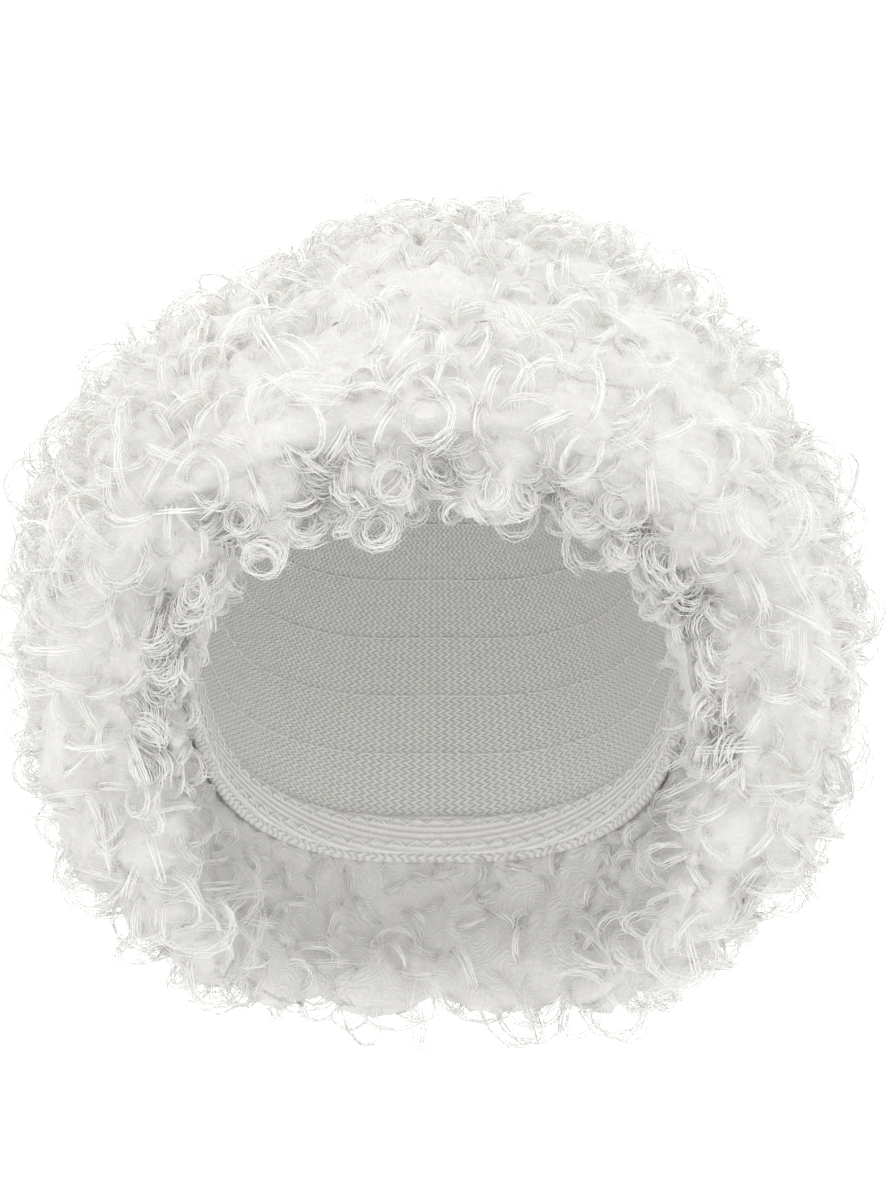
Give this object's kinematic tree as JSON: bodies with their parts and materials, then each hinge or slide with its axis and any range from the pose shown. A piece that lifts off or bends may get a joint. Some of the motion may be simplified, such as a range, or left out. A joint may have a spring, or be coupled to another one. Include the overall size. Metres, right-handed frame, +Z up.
{
  "type": "clown wig",
  "caption": "Round afro wig of white curls in rows on a knitted stretch cap, open at the face, with an elastic band in the rim.",
  "frame": {"origin": "top of the hollow inside the cap, where it rests on the crown of the head", "axes": "+Z up along the upright head, -Y to the face, +X to the wearer's left"},
  "size_m": [0.2671, 0.2671, 0.2526],
  "materials": {
    "knit": "white knitted stretch cloth, matt",
    "elastic": "white ribbed elastic, matt",
    "curls": "white synthetic fibre in tight curls, softly glossy"
  },
  "bodies": {
    "root": {"cap": "knit", "rim_band": "elastic", "whorl_curls": "curls", "curl_row_2": "curls", "curl_row_3": "curls", "curl_row_4": "curls", "curl_row_5": "curls", "curl_row_6": "curls", "curl_row_7": "curls", "curl_row_8": "curls", "hairline_curls": "curls"}
  },
  "joints": []
}
